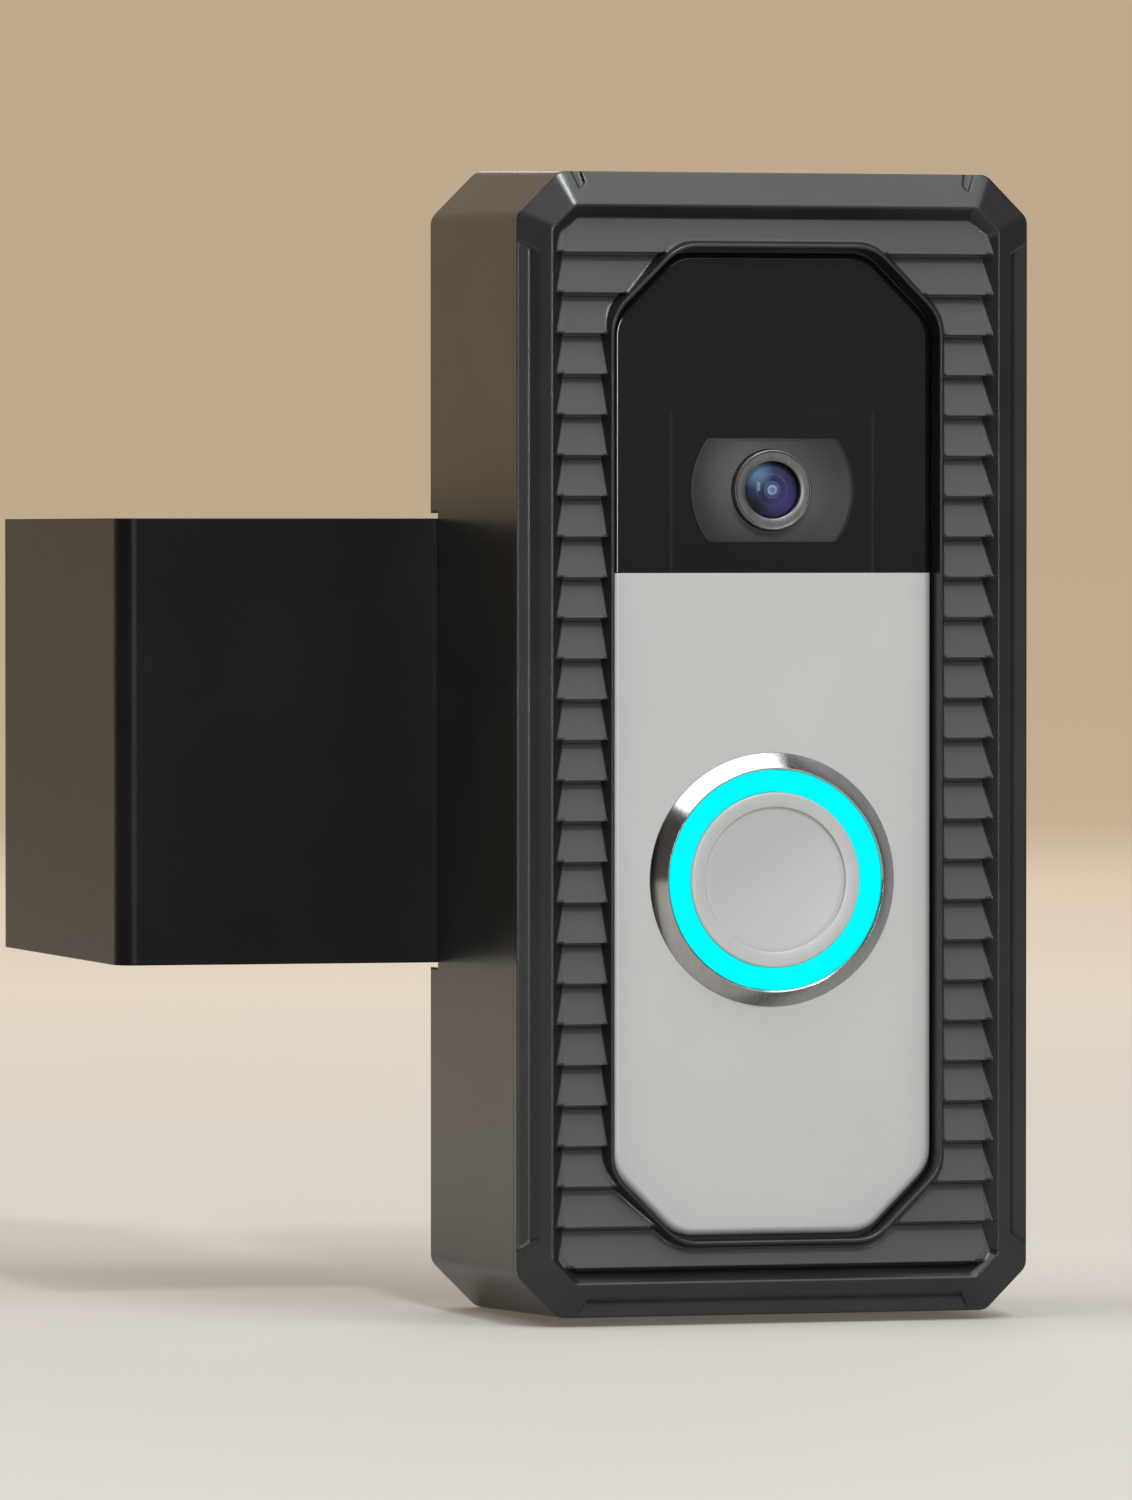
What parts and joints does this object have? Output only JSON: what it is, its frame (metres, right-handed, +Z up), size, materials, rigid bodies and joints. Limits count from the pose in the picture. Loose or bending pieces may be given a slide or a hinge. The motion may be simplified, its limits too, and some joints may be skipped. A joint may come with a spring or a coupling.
{
  "type": "video doorbell",
  "caption": "Slim video doorbell with a ringed round button, held in a louvred case on a bent steel bracket that clamps round a door edge.",
  "frame": {"origin": "on the door's outer face behind the middle of the case, at the foam pad's rear face", "axes": "+X to the right for somebody facing the doorbell, +Y into the door, +Z up"},
  "size_m": [0.1126, 0.1292, 0.148],
  "materials": {
    "case_black": "satin",
    "zinc": "satin",
    "frame_black": "satin",
    "brass": "satin",
    "black_steel": "satin",
    "gasket": "matte",
    "bracket_steel": "satin",
    "foam": "matte",
    "knob": "satin",
    "housing": "satin",
    "black_gloss": "gloss",
    "silver": "satin",
    "camera_satin": "satin",
    "lens_metal": "satin",
    "lens_glass": "polished",
    "lens_black": "matte",
    "sensor_glass": "gloss",
    "lamp": "gloss",
    "white_plastic": "matte",
    "circuit": "satin",
    "chip": "matte",
    "battery_wrap": "satin",
    "chrome": "polished",
    "cap_silver": "satin",
    "cyan_light": "satin",
    "silicone": "matte"
  },
  "bodies": {
    "case": {"casing": "case_black", "base_plate": "zinc", "casing_screws": "zinc", "front_frame": "frame_black", "frame_inserts": "brass", "frame_screws": "black_steel", "window_gasket": "gasket", "door_bracket": "bracket_steel", "bracket_screws": "zinc", "clinch_nuts": "zinc", "door_pad": "foam", "clamp_pad": "foam", "edge_pad": "foam", "clamp_nuts": "zinc", "mounting_plate": "housing", "mounting_screws": "zinc", "security_screws": "zinc", "rear_housing": "housing", "housing_gasket": "gasket", "housing_screws": "zinc", "front_shell": "housing", "camera_cover": "black_gloss", "motion_window": "black_gloss", "faceplate": "silver", "camera_window": "camera_satin", "lens_ring": "lens_metal", "lens_front": "lens_glass", "lens_barrel": "lens_black", "lens_inner": "lens_glass", "lens_holder": "lens_black", "image_sensor": "sensor_glass", "infrared_leds": "lamp", "motion_lens": "white_plastic", "motion_sensor": "zinc", "camera_board": "circuit", "main_board": "circuit", "board_screws": "zinc", "shield_can": "zinc", "board_chips": "chip", "battery_contacts": "brass", "battery_pack": "battery_wrap", "wifi_antenna": "circuit", "speaker": "chip", "microphone": "zinc", "terminal_block": "white_plastic", "terminal_screws": "zinc", "button_bezel": "chrome", "button_spring": "silicone", "switch_body": "chip", "ring_leds": "lamp"},
    "button": {"button_cap": "cap_silver", "light_ring": "cyan_light", "switch_plunger": "chip"},
    "pressure_foot": {"pressure_plate": "bracket_steel", "pressure_pad": "foam"},
    "upper_screw": {"clamp_screw_upper": "knob", "screw_clip_upper": "zinc"},
    "lower_screw": {"clamp_screw_lower": "knob", "screw_clip_lower": "zinc"}
  },
  "joints": [
    {"name": "button_press", "type": "slide", "parent": "case", "child": "button", "axis": [0, 1, 0], "range_m": [0, 0.0006], "stiffness_N_per_m": 1500, "springref_m": -0.0008, "deforming": ["button_spring"]},
    {"name": "clamp_slide", "type": "slide", "parent": "case", "child": "pressure_foot", "axis": [0, 1, 0], "range_m": [-0.01, 0.012]},
    {"name": "upper_screw_turn", "type": "hinge", "parent": "pressure_foot", "child": "upper_screw", "pos_m": [-0.0555, 0, 0.015], "axis": [0, 1, 0], "range_deg": [-3605, 4325]},
    {"name": "lower_screw_turn", "type": "hinge", "parent": "pressure_foot", "child": "lower_screw", "pos_m": [-0.0555, 0, -0.015], "axis": [0, 1, 0], "range_deg": [-3605, 4325]}
  ],
  "couplings": [
    {"joint": "upper_screw_turn", "follows": "clamp_slide", "rad_per_m": 6283.2},
    {"joint": "lower_screw_turn", "follows": "clamp_slide", "rad_per_m": 6283.2}
  ]
}
